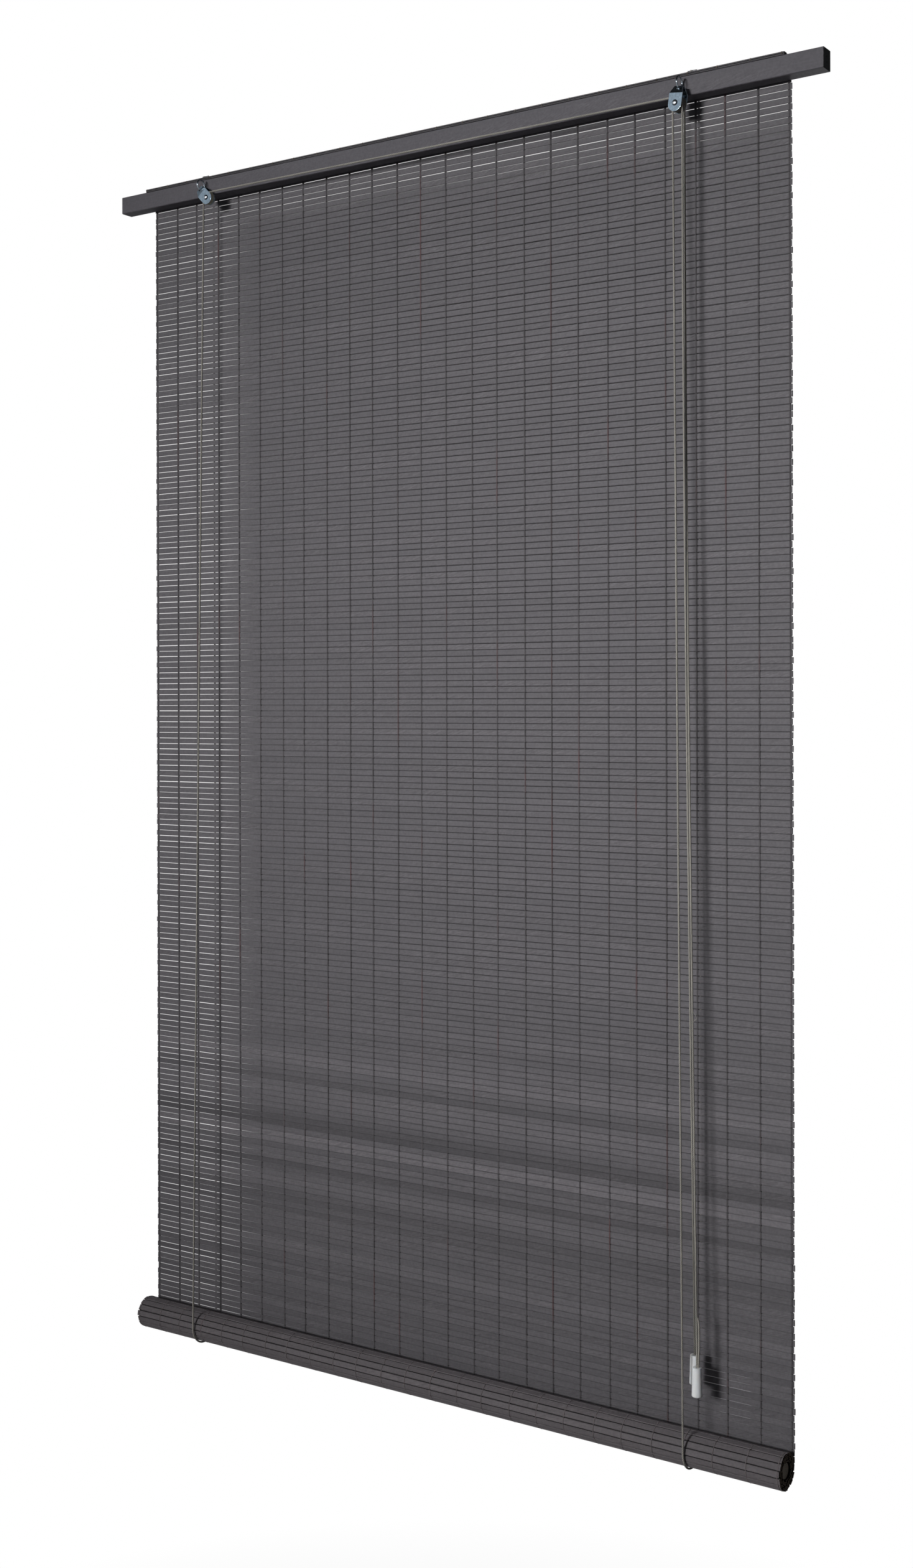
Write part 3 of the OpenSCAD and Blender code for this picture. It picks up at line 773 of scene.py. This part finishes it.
def hung_threads(strand):
    """One strand of every column on the hanging mat, knotted to the other in the gaps."""
    threads = Bundle()
    for cx in COLUMN_X:
        path, depth, width, thick = [], [], [], []
        tint = rng.uniform(*HUNG_SHADES)
        for i in range(COUNT):
            high, low = TOP - i * PITCH, TOP - i * PITCH - SLAT
            before = (i + strand) % 2 == 0
            face = FRONT - OFF_FACE if before else BACK + OFF_FACE
            x = cx + (BESIDE if before else -BESIDE)
            path += [(x, face, high - EDGE_INSET), (x, face, low + EDGE_INSET),
                     (cx, FRONT + KNOT_IN, low - GAP / 2)]
            # The strand's tint on the faces, and 0 in the gaps: painted near-black shade on the knots there.
            depth += [tint, tint, 0.0]
            width += [THREAD_W, THREAD_W, rng.uniform(*KNOT_WIDTHS)]
            thick += [THREAD_T, THREAD_T, KNOT_T]
        points, faces = ribbon(path, width, thick)
        threads.add(points, faces, strand=np.repeat(depth, 4))
    obj = threads.piece("threads_" + "ab"[strand], thread_mat, "hanger")
    shorten(obj)
    return obj


def roll_strand(cx, strand):
    """Path of a strand round the outermost turn of the roll."""
    path = []
    for i in range(OUTER_FIRST - 1, ROLL_COUNT):
        s0 = ROLL_FIRST + i * PITCH
        outside = (i + strand) % 2 == 0
        x = cx + (BESIDE if outside else -BESIDE)
        edge, middle = (THICK + ROLL_OVER, THICK - ROLL_UNDER) if outside else (-ROLL_UNDER, -ROLL_UNDER)
        stops = ((s0 + ROLL_INSET, edge), (s0 + SLAT / 2, middle), (s0 + SLAT - ROLL_INSET, edge))
        for s, lift in stops:
            path.append((x, *on_roll(s, lift)))
        path.append((cx, *on_roll(s0 + SLAT + GAP / 2, THICK / 2)))
    return path


def fold_strand(cx, strand):
    """Path of a strand from the mat's top, back and forth over the folded end, to its loose cut end."""
    x = cx + (FOLD_BESIDE if strand else -FOLD_BESIDE)
    mid_low, mid_high = FOLD_LOW + THICK / 2, FOLD_HIGH + THICK / 2
    inset = FOLD_INSET
    path = [(x, MIDDLE, TOP + 0.2), (x, MIDDLE - 0.3, FOLD_LOW - 0.6),
            (x, FOLD_FRONT + 2 * PITCH + SLAT + 0.2, mid_low + 0.3)]
    for i in reversed(range(FOLD_COUNTS[0])):
        y, z = FOLD_FRONT + i * PITCH, FOLD_LOW + THICK + OFF_FACE
        path += [(x, y + SLAT - inset, z), (x, y + inset, z)]
    path += [(x, FOLD_FRONT - 0.35, mid_low + 0.2), (x, FOLD_FRONT - inset, mid_high - 0.2)]
    for i in range(FOLD_COUNTS[1]):
        y, z = FOLD_FRONT + i * PITCH, FOLD_TOP + OFF_FACE
        path += [(x, y + inset, z), (x, y + SLAT - inset, z)]
    end = FOLD_FRONT + FOLD_COUNTS[1] * PITCH
    return path + [(x + rng.uniform(-1, 1), end + inset, FOLD_HIGH + 0.6),
                   (x + rng.uniform(-2, 2), end + 2.5, FOLD_HIGH + 0.5)]


def strands(name, route, width, shades, material, body):
    """Both strands of every column along a route, as one piece."""
    threads = Bundle()
    for cx in COLUMN_X:
        for strand in STRANDS:
            points, faces = ribbon(route(cx, strand), width, THREAD_T)
            threads.add(points, faces, strand=rng.uniform(*shades))
    threads.piece(name, material, body)


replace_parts(hung_threads(0), "warp_threads")
hung_threads(1)
strands("threads_roll", roll_strand, width=1.2, shades=(0.6, 1.0), material=ring_mat, body="roll")
strands("threads_fold", fold_strand, width=0.8, shades=(0.3, 1.0), material=knot_mat, body="hanger")

# Stage, in metres
FLOOR_Z = -2.45
FLOOR_HALF = 8
CARD_X = (-0.502, 0.495)
CARD_Y = 0.016
CARD_Z = (-1.590, 0.0)
# Where the card fades in, by X and by Z, and what is left of it outside
FADE_LEFT, FADE_TOP, FADED = (-0.415, -0.305), (-0.03, -0.065), 0.08
# Light of the card: from one X or Z to another, from one level to another
LIGHT_LEFT = (0.05, -0.30, 0.034, 0.085)
LIGHT_FOOT = (-1.05, -1.45, 0.0, 0.043)
LIGHT_TOP = (-0.15, -0.7, -0.010, 0.010)
LIGHT_RIGHT, RIGHT_LEVEL = (0.36, 0.46), 0.028
# A pale patch of painted light low on the right: its two edges in X, its two edges in Z and its level
PALE_X = ((0.400, 0.406), (0.446, 0.440))
PALE_Z = ((-1.495, -1.515), (-1.575, -1.56))
PALE_LEVEL = 0.16


def stage_plane(name, points, material):
    """A flat stage object, not part of the blind."""
    mesh = bpy.data.meshes.new(name)
    mesh.from_pydata(points, [], [tuple(range(len(points)))])
    obj = bpy.data.objects.new(name, mesh)
    scene.collection.objects.link(obj)
    mesh.materials.append(material)
    return obj


def pale_floor():
    """White to the camera, with part of the real shade left in it under the object."""
    m, t, out = blank("floor")
    mottle = add(t, "ShaderNodeTexNoise", {"Scale": 3.0, "Detail": 3.0}).outputs["Fac"]
    colour = ramp(t, mottle, [(0.0, grey(0.72)), (1.0, grey(0.76))])
    shader = add(t, "ShaderNodeBsdfPrincipled", {"Base Color": colour, "Roughness": 0.7})
    glow = add(t, "ShaderNodeEmission", {"Color": (1, 1, 1, 1), "Strength": 1.0})
    away = add(t, "ShaderNodeVectorMath", {0: place(t), 1: (0, 0, FLOOR_Z)}, operation="DISTANCE")
    away = away.outputs["Value"]
    ray = add(t, "ShaderNodeLightPath").outputs
    seen = maths(t, "MULTIPLY", ray["Is Camera Ray"], map_range(t, away, 0.5, 1.5, 0.8, 1.0))
    mirrored = maths(t, "MULTIPLY", ray["Is Glossy Ray"], 0.3)
    seen = maths(t, "MAXIMUM", seen, maths(t, "MAXIMUM", mirrored, ray["Is Transmission Ray"]))
    mixed = add(t, "ShaderNodeMixShader", {0: seen, 1: shader.outputs[0], 2: glow.outputs[0]})
    t.links.new(mixed.outputs[0], out.inputs["Surface"])
    return m


def dark_card():
    """Painted shade behind the gaps: a dark, glowing card in place of a shadowed room, seen from the front
    only.

    It is nearly clear at the left and at the top, and lighter to the left, low down and at the right.
    """
    m, t, out = blank("dark_card")

    def fade(value, start, end):
        return map_range(t, value, start, end, kind="SMOOTHSTEP")

    def times(a, b):
        return maths(t, "MULTIPLY", a, b)

    def plus(a, b):
        return maths(t, "ADD", a, b)

    at = place(t)
    x, z = axis_of(t, at, "X"), axis_of(t, at, "Z")
    wander = plus(noise(t, (3, 3, 60), 1.0), -0.5)
    across = plus(times(wander, 0.05), x)
    down = plus(plus(times(wander, 0.03), z), map_range(t, x, -0.35, 0.25, -0.022, 0.0))
    cover = times(fade(across, *FADE_LEFT), fade(down, *FADE_TOP))
    cover = map_range(t, cover, 0.0, 1.0, FADED, 1.0)
    front = maths(t, "SUBTRACT", 1.0, add(t, "ShaderNodeNewGeometry").outputs["Backfacing"])
    cover = times(cover, times(front, add(t, "ShaderNodeLightPath").outputs["Is Camera Ray"]))

    level = plus(map_range(t, x, *LIGHT_LEFT), map_range(t, z, *LIGHT_FOOT))
    level = plus(level, map_range(t, z, *LIGHT_TOP))
    level = plus(level, times(fade(x, *LIGHT_RIGHT), RIGHT_LEVEL))
    pale = times(times(fade(x, *PALE_X[0]), fade(x, *PALE_X[1])),
                 times(fade(z, *PALE_Z[0]), fade(z, *PALE_Z[1])))
    level = plus(level, times(pale, PALE_LEVEL))
    dark = add(t, "ShaderNodeEmission", {"Color": (1.0, 0.97, 1.02, 1), "Strength": level})
    clear = add(t, "ShaderNodeBsdfTransparent")
    mixed = add(t, "ShaderNodeMixShader", {0: cover, 1: clear.outputs[0], 2: dark.outputs[0]})
    t.links.new(mixed.outputs[0], out.inputs["Surface"])
    return m


def studio_world():
    """Weak soft light all round, white to the camera; metal mirrors a pale studio and a dark ceiling."""
    world = bpy.data.worlds.new("world")
    scene.world = world
    world.use_nodes = True
    t = world.node_tree
    t.nodes.clear()
    ray = add(t, "ShaderNodeLightPath").outputs
    soft = add(t, "ShaderNodeBackground", {"Color": (1, 1, 1, 1), "Strength": 0.030}).outputs[0]
    white = add(t, "ShaderNodeBackground", {"Color": (1, 1, 1, 1), "Strength": 1.0}).outputs[0]
    height = axis_of(t, add(t, "ShaderNodeTexCoord").outputs["Generated"], "Z")
    room = ramp(t, map_range(t, height, -1.0, 1.0), [(0.0, grey(0.3)), (0.5, (0.44, 0.48, 0.52)),
                                                     (0.66, (0.40, 0.44, 0.48)), (0.76, grey(0.02))])
    mirrored = add(t, "ShaderNodeBackground", {"Color": room, "Strength": 1.0}).outputs[0]
    mixed = add(t, "ShaderNodeMixShader", {0: ray["Is Glossy Ray"], 1: soft, 2: mirrored}).outputs[0]
    seen = maths(t, "MAXIMUM", ray["Is Camera Ray"], ray["Is Transmission Ray"])
    mixed = add(t, "ShaderNodeMixShader", {0: seen, 1: mixed, 2: white}).outputs[0]
    add(t, "ShaderNodeOutputWorld", {"Surface": mixed})


def area(name, at, target, wide, tall, watts, spread=180):
    """A rectangular light that faces a target and isn't seen itself."""
    data = bpy.data.lights.new(name, "AREA")
    data.shape = "RECTANGLE"
    data.size = wide
    data.size_y = tall
    data.spread = math.radians(spread)
    data.energy = watts
    obj = bpy.data.objects.new(name, data)
    scene.collection.objects.link(obj)
    obj.location = at
    obj.rotation_euler = (Vector(target) - Vector(at)).to_track_quat("-Z", "Y").to_euler()
    obj.visible_camera = False


square = [(-1, -1), (1, -1), (1, 1), (-1, 1)]
stage_plane("floor", [(FLOOR_HALF * x, FLOOR_HALF * y, FLOOR_Z) for x, y in square], pale_floor())
(left, right), (low, high) = CARD_X, CARD_Z
corners = [(left, CARD_Y, low), (right, CARD_Y, low), (right, CARD_Y, high), (left, CARD_Y, high)]
card = stage_plane("dark_card", corners, dark_card())
shorten(card)
studio_world()

# A distant softbox a little above the headrail, a weak broad fill from the right, a broad light for the back
area("key", at=(-1.5, -6.7, 0.75), target=(0.25, 0, -0.70), wide=1.75, tall=1.3, watts=14.1, spread=27.4)
area("fill", at=(1.4, -2.2, 0.4), target=(0.2, 0, -0.8), wide=1.6, tall=1.6, watts=1.5)
area("back", at=(0.3, 2.4, -0.6), target=(0, 0, -0.75), wide=1.6, tall=1.6, watts=14)
